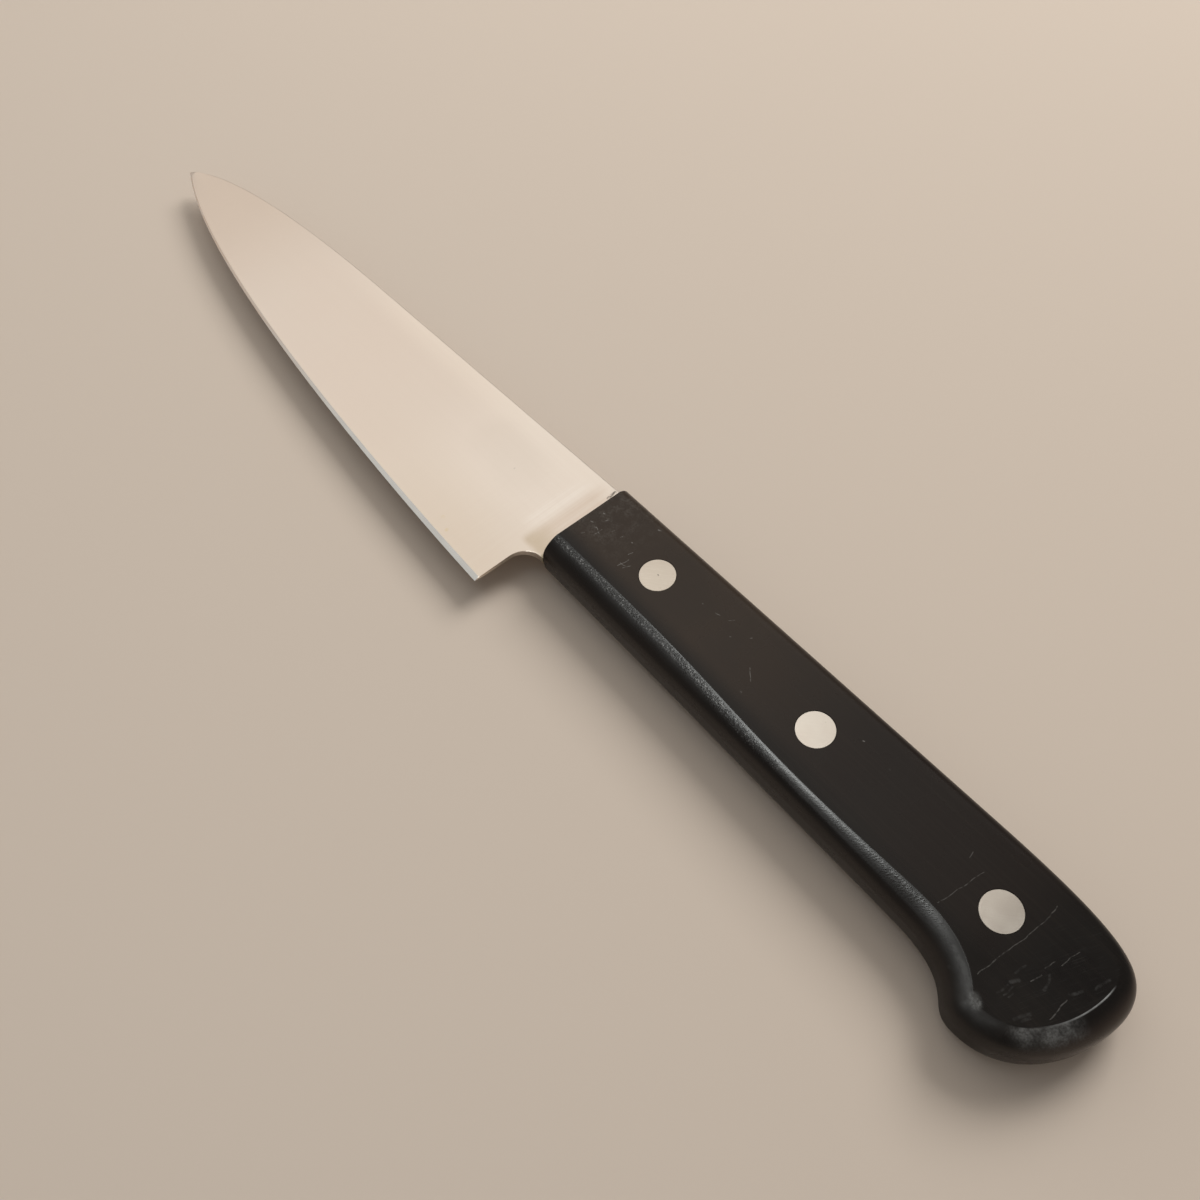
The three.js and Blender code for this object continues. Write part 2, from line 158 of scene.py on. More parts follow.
HANDLE_SCUFFS = (
    ((-3.0, 1.7), (-3.3, 1.5), 0.16), ((-2.4, 4.1), (-2.6, 3.7), 0.18),
    ((-1.6, 1.3), (-2.0, 1.2), 0.1), ((-4.1, 2.4), (-4.2, 1.1), 0.09),
    ((-3.5, 1.5), (-4.4, 1.8), 0.08), ((-3.2, -0.3), (-3.3, -0.8), 0.1),
    ((-5.6, 0.2), (-5.7, -0.2), 0.11), ((-1.7, -1.2), (-1.9, -1.3), 0.14),
    ((-7.4, -0.1), (-7.5, -0.5), 0.07), ((-11.4, 3.6), (-11.7, 1.5), 0.08),
    ((-11.2, 3.0), (-12.3, 2.8), 0.07), ((-12.3, 3.3), (-12.7, 2.2), 0.07),
    ((-10.9, 0.9), (-11.0, 0.1), 0.08), ((-9.3, -0.8), (-9.4, -0.8), 0.12),
    ((-10.4, -5.8), (-10.8, -6.0), 0.18), ((-28.0, -2.3), (-28.8, -2.5), 0.07),
    ((-32.6, -1.0), (-32.7, -1.1), 0.1), ((-34.9, -3.2), (-35.1, -3.5), 0.09),
    ((-38.5, 0.2), (-40.1, 1.8), 0.06), ((-57.5, -4.0), (-57.7, -4.1), 0.12),
)
HANDLE_SMEARS = (
    ((-92.9, 8.5), (-93.2, 6.7), 0.22), ((-93.6, 8.2), (-93.8, 6.4), 0.16),
    ((-94.1, 7.9), (-94.2, 7.0), 0.16), ((-93.2, 6.0), (-93.7, 5.0), 0.4),
    ((-92.7, 4.5), (-93.0, 3.2), 0.25), ((-96.5, 9.1), (-97.2, 7.4), 0.35),
    ((-97.3, 8.6), (-97.5, 7.9), 0.3), ((-95.7, 1.6), (-96.3, 3.7), 0.26),
    ((-98.8, 1.6), (-99.4, 0.2), 0.25), ((-100.3, -1.4), (-100.8, -3.4), 0.25),
    ((-86.7, 10.2), (-87.4, 10.3), 0.3),
)
# Painted highlights on the hook: a thin line along its crease, then a soft spot at its corner.
HOOK_GLEAM = (
    ((-85.6, 8.0), (-87.4, 8.8), 0.5), ((-87.4, 8.8), (-89.4, 9.9), 0.5),
    ((-89.4, 9.9), (-91.3, 11.1), 0.6),
)
HOOK_GLINT = ((-91.5, 11.0), (-92.3, 11.5), 1.2)
STEEL_SMUDGE = ((17.0, 2.2), (26.0, 1.4), 6.5)
STEEL_STAINS = (((18.1, 18.1), (18.3, 18.1), 0.5), ((15.7, 19.1), (15.9, 19.1), 0.4))
STEEL_NICKS = (((2.5, -5.2), (2.9, -7.0), 0.4), ((18.4, 2.8), (18.5, 2.8), 0.18))
RIVET_PITS = (((RIVET_SETBACKS[0], 0), (RIVET_SETBACKS[0] + 0.1, 0), 0.2),)

# Floor and room, in metres.
FLOOR_RADIUS = 1.1
FLOOR_HEIGHT = -0.0001
FLOOR_SIDES = 96
FLOOR_COLOUR = (0.63, 0.55, 0.475, 1)
FLOOR_ROUGHNESS = 0.7
ROOM_COLOUR = (1.0, 0.93, 0.86, 1)
ROOM_STRENGTH = 0.27
WINDOW_COLOUR = (0.97, 1.0, 0.98)

# Camera: place and nearest view in metres, ways that it looks and is held, sensor and lens in millimetres.
CAMERA_PLACE = (-0.10866, 0.05676, 0.1624)
CAMERA_NEAR = 0.01
CAMERA_FORWARD = Vector((0.44817, -0.29116, -0.84520))
CAMERA_RIGHT = Vector((-0.62361, -0.77926, -0.06223))
CAMERA_UP = Vector((0.64051, -0.55496, 0.53081))
SENSOR_WIDTH = 36
FOCAL_LENGTH = 34.87

# Fineness of the meshes.
CURVE_STEPS = 28
BELLY_STEPS = 40
ROUND_STEPS = 14
EASE_STEPS = 4
NOTCH_STEPS = 16
HEEL_STEPS = 8
EDGE_STEPS = 110
FACE_STEPS = 16
RIVET_SIDES = 72
HALVINGS = 40
MERGE_DISTANCE = 1e-7
RIVET_MERGE_DISTANCE = 1e-6
LEVEL_NORMAL = 1 - 1e-7
CREASE_ANGLE = math.radians(25)
BLADE_CREASE_ANGLE = math.radians(6)


def in_frame(x, y, z):
    return ORIGIN + Vector((x, y, z)) * MM


def blend(a, b, share):
    return a + (b - a) * share


def smoothstep(x, low, high):
    share = min(1, max(0, (x - low) / (high - low)))
    return share * share * (3 - 2 * share)


def bezier(a, b, c, d, share):
    rest = 1 - share
    return (a * rest ** 3 + b * (3 * rest * rest * share)
            + c * (3 * rest * share * share) + d * share ** 3)


def bend(a, b, c, share):
    return a.lerp(b, share).lerp(b.lerp(c, share), share)


def bezier_way(a, b, c, d, share):
    rest = 1 - share
    return (b - a) * (rest * rest) + (c - b) * (2 * rest * share) + (d - c) * (share * share)


# Meshes

def new_object(name, mesh):
    piece = bpy.data.objects.new(name, mesh)
    bpy.context.scene.collection.objects.link(piece)
    return piece


# A closed mesh from points in millimetres and faces, with doubled points merged and faces turned outwards.
def solid(name, points, faces, kinds=None):
    mesh = bpy.data.meshes.new(name)
    mesh.from_pydata([in_frame(*point) for point in points], [], faces)
    if kinds:
        mesh.polygons.foreach_set("material_index", kinds)
    work = bmesh.new()
    work.from_mesh(mesh)
    bmesh.ops.remove_doubles(work, verts=work.verts, dist=MERGE_DISTANCE)
    bmesh.ops.recalc_face_normals(work, faces=work.faces)
    work.to_mesh(mesh)
    work.free()
    return new_object(name, mesh)


# Faces round a loft of rings with equal numbers of points. The first ring is closed flat, and the last one
# flat or in one end point, whose index follows the last ring's.
def loft_faces(ring_count, ring_size, pointed=False):
    faces = []
    for ring in range(ring_count - 1):
        for side in range(ring_size):
            near = ring * ring_size + side
            following = ring * ring_size + (side + 1) % ring_size
            faces.append((near, following, following + ring_size, near + ring_size))
    last = (ring_count - 1) * ring_size
    faces.append(tuple(range(ring_size - 1, -1, -1)))
    if pointed:
        for side in range(ring_size):
            faces.append((last + side, last + (side + 1) % ring_size, last + ring_size))
    else:
        faces.append(tuple(range(last, last + ring_size)))
    return faces


# A plate of an outline in the XY plane, of the given thickness about mid thickness.
def plate(name, outline, thickness):
    points = [(x, y, -thickness / 2) for x, y in outline] + [(x, y, thickness / 2) for x, y in outline]
    return solid(name, points, loft_faces(2, len(outline)))


# A round solid about a line along Z at the given X, from a profile of radii and heights.
def turned(name, profile, x):
    rings = []
    for radius, height in profile:
        for side in range(RIVET_SIDES):
            angle = 2 * math.pi * side / RIVET_SIDES
            rings.append((x + radius * math.cos(angle), radius * math.sin(angle), height))
    return solid(name, rings, loft_faces(len(profile), RIVET_SIDES))


# Joins other solids to a piece, or cuts them from it, and leaves a plain mesh.
def carve(piece, others, operation):
    for other in others:
        cut = piece.modifiers.new("cut", "BOOLEAN")
        cut.operation = operation
        cut.solver = "EXACT"
        cut.object = other
    graph = bpy.context.evaluated_depsgraph_get()
    carved = bpy.data.meshes.new_from_object(piece.evaluated_get(graph))
    piece.modifiers.clear()
    piece.data = carved
    carved.name = piece.name
    for other in others:
        bpy.data.objects.remove(other)


# Smooth shading, with a crease where faces meet at more than an angle and all round level flats.
def shade(piece, crease_angle):
    work = bmesh.new()
    work.from_mesh(piece.data)
    for face in work.faces:
        face.smooth = True
    for edge in work.edges:
        flat = any(abs(face.normal.z) > LEVEL_NORMAL for face in edge.link_faces)
        edge.smooth = not flat and edge.calc_face_angle(math.pi) < crease_angle
    work.to_mesh(piece.data)
    work.free()


# Handle

# The outline at mid thickness, from the front of the spine round the butt to the front of the belly, as
# pairs of a point and the way that it faces.
def handle_outline():
    butt = -HANDLE_LENGTH
    spine_end = butt + SPINE_CURVE_LENGTH
    spine_fall = (REAR_SPINE_HEIGHT - FRONT_SPINE_HEIGHT) / -spine_end
    spine_lead = CORNER_SPINE_PULL * SPINE_CURVE_LENGTH
    corner_lead = CORNER_BUTT_PULL * (REAR_SPINE_HEIGHT - BUTT_POINT_HEIGHT)
    butt_lead = BUTT_PULL * (HOOK_DEPTH + BUTT_POINT_HEIGHT)
    spine_front = Vector((0, -FRONT_SPINE_HEIGHT))
    spine_rear = Vector((spine_end, -REAR_SPINE_HEIGHT))
    butt_point = Vector((butt, -BUTT_POINT_HEIGHT))
    hook = Vector((HOOK_X, HOOK_DEPTH))
    waist = Vector((WAIST_X, WAIST_DEPTH))
    belly_turn = Vector((WAIST_X * (1 - WAIST_BELLY_PULL), WAIST_DEPTH))
    belly_front = Vector((0, FRONT_BELLY_DEPTH))
    spine = [
        spine_front,
        spine_front.lerp(spine_rear, 1 / 3),
        spine_front.lerp(spine_rear, 2 / 3),
        spine_rear,
    ]
    corner = [
        spine_rear,
        Vector((spine_end - spine_lead, -REAR_SPINE_HEIGHT - spine_lead * spine_fall)),
        Vector((butt, -BUTT_POINT_HEIGHT - corner_lead)),
        butt_point,
    ]
    rear = [
        butt_point,
        Vector((butt, -BUTT_POINT_HEIGHT + butt_lead)),
        Vector((HOOK_X - HOOK_BUTT_PULL * HOOK_TO_BUTT, HOOK_DEPTH)),
        hook,
    ]
    sweep = [
        hook,
        Vector((HOOK_X + HOOK_WAIST_PULL * WAIST_TO_HOOK, HOOK_DEPTH)),
        Vector((WAIST_X - WAIST_HOOK_PULL * WAIST_TO_HOOK, WAIST_DEPTH)),
        waist,
    ]
    belly = [waist, waist.lerp(belly_turn, 2 / 3), belly_front.lerp(belly_turn, 2 / 3), belly_front]
    outline = []
    for curve in (spine, corner, rear, sweep, belly):
        steps = BELLY_STEPS if curve is belly else CURVE_STEPS
        for step in range(1 if outline else 0, steps + 1):
            way = bezier_way(*curve, step / steps).normalized()
            outline.append((bezier(*curve, step / steps), Vector((-way.y, way.x))))
    return eased_front(outline)


# Points close to the front face, where the sides turn in a little.
def eased_front(outline):
    turns = [math.pi / 2 * step / EASE_STEPS for step in range(EASE_STEPS)]
    first, last = outline[0], outline[-1]
    start = [(Vector((-FRONT_EASE * math.sin(turn), first[0].y)), first[1]) for turn in turns]
    end = [(Vector((-FRONT_EASE * math.sin(turn), last[0].y)), last[1]) for turn in reversed(turns)]
    return start + [pair for pair in outline[1:-1] if pair[0].x < -FRONT_EASE] + end


# How far an eased edge has turned in at a distance from the face that it runs to.
def ease_drop(distance):
    if distance >= FRONT_EASE:
        return 0
    return FRONT_EASE - math.sqrt(FRONT_EASE ** 2 - (FRONT_EASE - distance) ** 2)


# How much tighter the belly's round is along the middle of the grip.
def grip_tightening(x):
    reach = min(1, abs(x + GRIP_SETBACK) / GRIP_REACH)
    return GRIP_TIGHTENING * math.cos(math.pi / 2 * reach) ** 2


# Inset, starting slope and drop of the round of the lower side, from the belly to the hook.
def lower_round(x):
    hook = 1 - smoothstep(x, HOOK_X, WAIST_X)
    rounding = blend(BELLY_ROUNDING - grip_tightening(x), HOOK_ROUNDING, hook)
    return rounding, blend(BELLY_CREASE, HOOK_CREASE, hook), BELLY_DROP


# The wall from mid thickness to the upper flat at a point that faces the given way, as pairs of inset and
# height: an upright stretch, the side's round, and a small ease over the crease into the flat.
def wall_profile(point, outward):
    facing = outward.y * outward.y
    side = lower_round(point.x) if outward.y > 0 else (SPINE_FILLET, 0, SPINE_FILLET)
    rounding = blend(BUTT_ROUNDING, side[0], facing)
    slope = blend(BUTT_CREASE, side[1], facing)
    drop = min(HALF_HANDLE, blend(BUTT_DROP, side[2], facing))
    crease = Vector((rounding, 0))
    turn = Vector((0, -rounding * math.tan(slope)))
    upright = Vector((0, -drop))
    on_round = crease - FLAT_EASE * Vector((math.cos(slope), math.sin(slope)))
    on_flat = crease + Vector((FLAT_EASE, 0))
    profile = [Vector((0, -HALF_HANDLE))]
    for step in range(ROUND_STEPS + 1):
        profile.append(bend(upright, turn, on_round, step / ROUND_STEPS))
    for step in range(1, EASE_STEPS + 1):
        profile.append(bend(on_round, crease, on_flat, step / EASE_STEPS))
    return [(inset, HALF_HANDLE + height) for inset, height in profile]


def handle_blank():
    columns = []
    for point, outward in handle_outline():
        upper = []
        for inset, height in wall_profile(point, outward):
            inset += ease_drop(-point.x)
            x = min(point.x - inset * outward.x, -ease_drop(HALF_HANDLE - height))
            upper.append((x, point.y - inset * outward.y, height))
        columns.append([(x, y, -height) for x, y, height in reversed(upper[1:])] + upper)
    rings = [[column[level] for column in columns] for level in range(len(columns[0]))]
    points = [point for ring in rings for point in ring]
    return solid("handle_blank", points, loft_faces(len(rings), len(columns)))


# The tang's outline behind a front line, with a margin that makes it the outline of the slot.
def tang_outline(front, spine, margin):
    end = TANG_END - margin
    depth = TANG_DEPTH + margin
    radius = TANG_END_RADIUS + margin
    corner = []
    for step in range(CURVE_STEPS + 1):
        angle = math.pi / 2 * (1 + step / CURVE_STEPS)
        corner.append((end + radius + radius * math.cos(angle), depth - radius + radius * math.sin(angle)))
    return [*spine, (front, depth), *corner]


# The round hole for a rivet right through the handle, with a flat-bottomed seat for each head.
def rivet_hole(x):
    seat = HALF_HANDLE - HEAD_DEPTH - FIT
    head = HEAD_RADIUS + FIT
    sleeve = SLEEVE_RADIUS + FIT
    outside = HALF_HANDLE + CUT_MARGIN
    return turned("rivet_hole", [(head, -outside), (head, -seat), (sleeve, -seat),
                                 (sleeve, seat), (head, seat), (head, outside)], x)


def make_handle():
    handle = handle_blank()
    handle.name = "black_handle"
    slot_spine = [(TANG_END - FIT, -SLOT_CUTTER_HEIGHT), (CUT_MARGIN, -SLOT_CUTTER_HEIGHT)]
    slot = plate("tang_slot", tang_outline(CUT_MARGIN, slot_spine, FIT), 2 * (HALF_STOCK + FIT))
    carve(handle, [slot, *[rivet_hole(x) for x in RIVET_SETBACKS]], "DIFFERENCE")
    shade(handle, CREASE_ANGLE)
    return handle


# Blade

def straight_spine(x):
    return x * math.tan(SPINE_SLOPE) - FRONT_SPINE_HEIGHT


def spine_drop():
    start = BLADE_LENGTH - SPINE_DROP_LENGTH
    start_y = straight_spine(start)
    lead = DROP_SPINE_PULL * SPINE_DROP_LENGTH
    tip_lead = DROP_TIP_PULL * SPINE_DROP_LENGTH
    return [
        Vector((start, start_y)),
        Vector((start + lead * math.cos(SPINE_SLOPE), start_y + lead * math.sin(SPINE_SLOPE))),
        Vector((BLADE_LENGTH - tip_lead * math.cos(TIP_SPINE_ANGLE),
                TIP_DEPTH - tip_lead * math.sin(TIP_SPINE_ANGLE))),
        Vector((BLADE_LENGTH, TIP_DEPTH)),
    ]


def edge_curve():
    length = BLADE_LENGTH - HEEL_TO_HANDLE
    tip_lead = EDGE_TIP_PULL * length
    return [
        Vector((HEEL_TO_HANDLE, HEEL_DEPTH)),
        Vector((HEEL_TO_HANDLE + EDGE_HEEL_PULL * length, HEEL_DEPTH)),
        Vector((BLADE_LENGTH - tip_lead * math.cos(TIP_EDGE_ANGLE),
                TIP_DEPTH + tip_lead * math.sin(TIP_EDGE_ANGLE))),
        Vector((BLADE_LENGTH, TIP_DEPTH)),
    ]


# The height in Y of a curve that runs forward in X, found by halving. Behind the start it stays level.
def height_at(curve, x):
    before, after = 0, 1
    for _ in range(HALVINGS):
        middle = (before + after) / 2
        if bezier(*curve, middle).x < x:
            before = middle
        else:
            after = middle
    return bezier(*curve, before).y


def spine_at(x):
    if x < BLADE_LENGTH - SPINE_DROP_LENGTH:
        return straight_spine(x)
    return height_at(spine_drop(), x)


def edge_at(x):
    return height_at(edge_curve(), x)


# Width of the honed bevel, which gets narrower towards the tip.
def edge_bevel(x):
    return blend(HEEL_BEVEL, TIP_BEVEL, x / BLADE_LENGTH)


# How much of a full section is left between spine and edge: its sizes shrink with its height near the tip.
def tip_fade(spine, edge):
    return min(1, (edge - spine) / TIP_FADE_HEIGHT)


# Half the blade's thickness at a point of its face: full stock at the neck, and further on a slightly
# swelling wedge from spine to edge that gets thinner towards the tip.
def half_thickness(x, y):
    spine, edge = spine_at(x), edge_at(x)
    fade = tip_fade(spine, edge)
    neck = 1 - smoothstep(x, PLUNGE_START, PLUNGE_START + PLUNGE_LENGTH)
    bevel = fade * edge_bevel(x)
    bevel_start = edge - bevel
    across = min(1, max(0, (y - spine) / max(LEAST_HEIGHT, bevel_start - spine)))
    back = fade * blend(HALF_STOCK, HALF_TIP, x / BLADE_LENGTH)
    wedge = blend(back, bevel * HONING_SLOPE, across) + fade * GRIND_SWELL * 4 * across * (1 - across)
    return blend(wedge, HALF_STOCK, neck)


# Points of the lower border from the neck round the notch and the heel to the tip, each with the point of
# the spine opposite and whether the border is the cutting edge there.
def blade_stations():
    neck = [Vector((FIT, FRONT_BELLY_DEPTH))]
    notch_x, notch_y = HEEL_TO_HANDLE - NOTCH_RADIUS, FRONT_BELLY_DEPTH + NOTCH_RADIUS
    for step in range(NOTCH_STEPS + 1):
        angle = math.pi / 2 * (step / NOTCH_STEPS - 1)
        x = notch_x + NOTCH_RADIUS * math.cos(angle)
        neck.append(Vector((x, notch_y + NOTCH_RADIUS * math.sin(angle))))
    heel_end = HEEL_DEPTH - edge_bevel(HEEL_TO_HANDLE)
    for step in range(1, HEEL_STEPS + 1):
        neck.append(Vector((HEEL_TO_HANDLE, blend(notch_y, heel_end, step / HEEL_STEPS))))
    edge = []
    for step in range(EDGE_STEPS):
        share = (1 - math.cos(math.pi * step / EDGE_STEPS)) / 2
        edge.append(bezier(*edge_curve(), share * (1 - TIP_BLUNTNESS / BLADE_LENGTH)))
    spread = 2 * HEEL_TO_HANDLE
    stations = []
    for index, point in enumerate(neck):
        x = blend(FIT, spread, index / len(neck))
        stations.append((point, Vector((x, spine_at(x))), False))
    for point in edge:
        x = point.x + (spread - HEEL_TO_HANDLE) * (BLADE_LENGTH - point.x) / (BLADE_LENGTH - HEEL_TO_HANDLE)
        stations.append((point, Vector((x, spine_at(x))), True))
    return stations


# One ring of the blade: over the upper face from the lower border to the spine, and back underneath.
def blade_ring(low, high, cutting):
    way = (high - low).normalized()
    length = (high - low).length
    fade = tip_fade(spine_at(low.x), edge_at(low.x)) if cutting else 1
    round_off = min(STEEL_EASE, EASE_LIMIT * length)
    upper = []
    if cutting:
        for share in (0, 0.5, 1):
            bevel = share * fade * edge_bevel(low.x)
            point = low + way * (bevel / max(LEAST_SLANT, abs(way.y)))
            upper.append((point, bevel * HONING_SLOPE))
    else:
        for turn in (0, math.pi / 4, math.pi / 2):
            point = low + way * (round_off * (1 - math.cos(turn)))
            upper.append((point, half_thickness(point.x, point.y) - round_off * (1 - math.sin(turn))))
    start = upper[-1][0]
    stop = high - way * round_off
    for step in range(1, FACE_STEPS + 1):
        point = start.lerp(stop, step / FACE_STEPS)
        upper.append((point, half_thickness(point.x, point.y)))
    for turn in (math.pi / 4, 0):
        point = high - way * (round_off * (1 - math.cos(turn)))
        upper.append((point, half_thickness(point.x, point.y) - fade * round_off * (1 - math.sin(turn))))
    over = [(point.x, point.y, height) for point, height in upper]
    under = [(point.x, point.y, -height) for point, height in reversed(upper)]
    return over + under


# The blade without its tang. The honed bevel is the first two and the last three sides of a cutting ring.
def blade_blank():
    stations = blade_stations()
    rings = [blade_ring(*station) for station in stations]
    size = len(rings[0])
    points = [point for ring in rings for point in ring] + [(BLADE_LENGTH, TIP_DEPTH, 0)]
    faces = loft_faces(len(rings), size, pointed=True)
    bevel_sides = {0, 1, size - 3, size - 2, size - 1}
    kinds = []
    for _, _, cutting in stations[:-1]:
        for side in range(size):
            kinds.append(HONED_STEEL if cutting and side in bevel_sides else FACE_STEEL)
    kinds += [FACE_STEEL] * (len(faces) - len(kinds))
    return solid("blade_blank", points, faces, kinds)


def make_blade():
    blade = blade_blank()
    blade.name = "steel_blade"
    spine = [point for point, _ in handle_outline() if point.y < 0 and TANG_END < point.x < -FRONT_EASE]
    last = spine[-1]
    tang_spine = [(TANG_END, last.y), *[(point.x, point.y) for point in reversed(spine)],
                  (0, -FRONT_SPINE_HEIGHT), (TANG_OVERLAP, straight_spine(TANG_OVERLAP))]
    tang = plate("tang", tang_outline(TANG_OVERLAP, tang_spine, 0), 2 * HALF_STOCK)
    carve(blade, [tang], "UNION")
    carve(blade, [rivet_hole(x) for x in RIVET_SETBACKS], "DIFFERENCE")
    shade(blade, BLADE_CREASE_ANGLE)
    return blade


# Node trees

def add_node(tree, kind, **settings):
    node = tree.nodes.new(kind)
    for name, value in settings.items():
        setattr(node, name, value)
    return node


# Links a socket to another node's output, or sets its value.
def feed(tree, socket, source):
    if isinstance(source, bpy.types.NodeSocket):
        tree.links.new(source, socket)
    else:
        socket.default_value = source


def feed_all(tree, sockets, sources):
    for socket, source in zip(sockets, sources):
        feed(tree, socket, source)


def calc(tree, operation, *values):
    node = add_node(tree, "ShaderNodeMath", operation=operation)
    feed_all(tree, node.inputs, values)
    return node.outputs[0]


def vector_calc(tree, operation, *values):
    node = add_node(tree, "ShaderNodeVectorMath", operation=operation)
    feed_all(tree, node.inputs, values)
    return node.outputs["Value" if operation in ("DOT_PRODUCT", "LENGTH") else "Vector"]


def split(tree, vector):
    node = add_node(tree, "ShaderNodeSeparateXYZ")
    feed(tree, node.inputs[0], vector)
    return node.outputs


def join(tree, *parts):
    node = add_node(tree, "ShaderNodeCombineXYZ")
    feed_all(tree, node.inputs, parts)
    return node.outputs[0]


# A smooth step of a value from one bound to another.
def ease(tree, value, low, high, start=0, end=1):
    node = add_node(tree, "ShaderNodeMapRange", interpolation_type="SMOOTHSTEP")
    feed_all(tree, node.inputs, (value, low, high, start, end))
    return node.outputs[0]


def product(tree, first, *others):
    for other in others:
        first = calc(tree, "MULTIPLY", first, other)
    return first


# A mask of a zone: the product of smooth steps, each of a value from one bound to another.
def zone(tree, *steps):
    return product(tree, *[ease(tree, *step) for step in steps])


# A value between two others.
def mix(tree, share, first, second):
    node = add_node(tree, "ShaderNodeMix")
    feed_all(tree, (node.inputs[0], node.inputs[2], node.inputs[3]), (share, first, second))
    return node.outputs[0]


# A colour between two others.
def tint(tree, share, first, second):
    node = add_node(tree, "ShaderNodeMix", data_type="RGBA")
    feed(tree, node.inputs[0], share)
    for socket, colour in ((node.inputs[6], first), (node.inputs[7], second)):
        feed(tree, socket, colour if isinstance(colour, bpy.types.NodeSocket) else (*colour, 1))
    return node.outputs[2]


# Lays colours over a colour one after the other, each by a mask and a share of it.
def layered(tree, colour, *layers):
    for mask, share, over in layers:
        colour = tint(tree, product(tree, mask, share), colour, over)
    return colour


# Effects that the materials share, as groups of nodes that each give a mask. Sizes are in millimetres.

def new_effect(name, **inputs):
    tree = bpy.data.node_groups.new(name, "ShaderNodeTree")
    for label, value in inputs.items():
        kind = "NodeSocketVector" if isinstance(value, tuple) else "NodeSocketFloat"
        socket = tree.interface.new_socket(label, in_out="INPUT", socket_type=kind)
        socket.default_value = value
    tree.interface.new_socket("Mask", in_out="OUTPUT", socket_type="NodeSocketFloat")
    given = add_node(tree, "NodeGroupInput").outputs
    mask = add_node(tree, "NodeGroupOutput").inputs["Mask"]
    return tree, given, mask


def use(tree, effect, **values):
    node = add_node(tree, "ShaderNodeGroup", node_tree=effect)
    for label, value in values.items():
        feed(tree, node.inputs[label], value)
    return node.outputs["Mask"]


# Soft patches of a size, where a noise lies between two bounds.
def cloud_effect():
    tree, given, mask = new_effect("Cloud", Place=(0, 0, 0), Size=10.0, Low=0.35, High=0.65)
    noise = add_node(tree, "ShaderNodeTexNoise")
    feed(tree, noise.inputs["Vector"], given["Place"])
    feed(tree, noise.inputs["Scale"], calc(tree, "DIVIDE", 1.0, given["Size"]))
    noise.inputs["Detail"].default_value = 4
    feed(tree, mask, ease(tree, noise.outputs[0], given["Low"], given["High"]))
    return tree


# Fine lines of a length and width that run at an angle to X.
def streak_effect():
    tree, given, mask = new_effect("Streaks", Place=(0, 0, 0), Angle=0.0, Length=10.0, Width=0.3,
                                   Low=0.45, High=0.7)
    turn = add_node(tree, "ShaderNodeVectorRotate", rotation_type="Z_AXIS")
    feed(tree, turn.inputs["Vector"], given["Place"])
    feed(tree, turn.inputs["Angle"], calc(tree, "MULTIPLY", given["Angle"], -1.0))
    size = join(tree, given["Length"], given["Width"], given["Width"])
    noise = add_node(tree, "ShaderNodeTexNoise")
    feed(tree, noise.inputs["Vector"], vector_calc(tree, "DIVIDE", turn.outputs[0], size))
    noise.inputs["Scale"].default_value = 1
    noise.inputs["Detail"].default_value = 3
    feed(tree, mask, ease(tree, noise.outputs[0], given["Low"], given["High"]))
    return tree


# Separate specks, one in some of the cells of a size.
def speckle_effect():
    tree, given, mask = new_effect("Speckle", Place=(0, 0, 0), Size=2.0, Radius=0.2, Cover=0.3)
    cells = add_node(tree, "ShaderNodeTexVoronoi")
    feed(tree, cells.inputs["Vector"], given["Place"])
    feed(tree, cells.inputs["Scale"], calc(tree, "DIVIDE", 1.0, given["Size"]))
    chance = split(tree, cells.outputs["Color"])
    reach = calc(tree, "MULTIPLY", cells.outputs["Distance"], given["Size"])
    radius = calc(tree, "MULTIPLY", given["Radius"], chance[1])
    spot = ease(tree, reach, radius, calc(tree, "MULTIPLY", radius, 0.4))
    feed(tree, mask, product(tree, spot, calc(tree, "LESS_THAN", chance[0], given["Cover"])))
    return tree


# One scratch between two places of a level face.
def scratch_effect():
    tree, given, mask = new_effect("Scratch", Place=(0, 0, 0), Start=(0, 0, 0), End=(1, 0, 0), Width=0.1)
    level = vector_calc(tree, "MULTIPLY", given["Place"], (1, 1, 0))
    way = vector_calc(tree, "SUBTRACT", given["End"], given["Start"])
    reach = vector_calc(tree, "SUBTRACT", level, given["Start"])
    share = calc(tree, "DIVIDE", vector_calc(tree, "DOT_PRODUCT", reach, way),
                 vector_calc(tree, "DOT_PRODUCT", way, way))
    share = calc(tree, "MINIMUM", calc(tree, "MAXIMUM", share, 0.0), 1.0)
    nearest = vector_calc(tree, "MULTIPLY", way, join(tree, share, share, share))
    distance = vector_calc(tree, "LENGTH", vector_calc(tree, "SUBTRACT", reach, nearest))
    feed(tree, mask, ease(tree, distance, given["Width"], calc(tree, "MULTIPLY", given["Width"], 0.3)))
    return tree


def make_effects():
    return {"cloud": cloud_effect(), "streaks": streak_effect(), "speckle": speckle_effect(),
            "scratch": scratch_effect()}


# Materials

# A material and the place on its surface, in the millimetres that the pieces are drawn in.
def new_material(name):
    material = bpy.data.materials.new(name)
    material.use_nodes = True
    tree = material.node_tree
    coordinates = add_node(tree, "ShaderNodeTexCoord")
    mapping = add_node(tree, "ShaderNodeMapping")
    mapping.inputs["Location"].default_value = -ORIGIN / MM
    mapping.inputs["Scale"].default_value = (1 / MM, 1 / MM, 1 / MM)
    feed(tree, mapping.inputs["Vector"], coordinates.outputs["Object"])
    return material, tree, mapping.outputs[0]


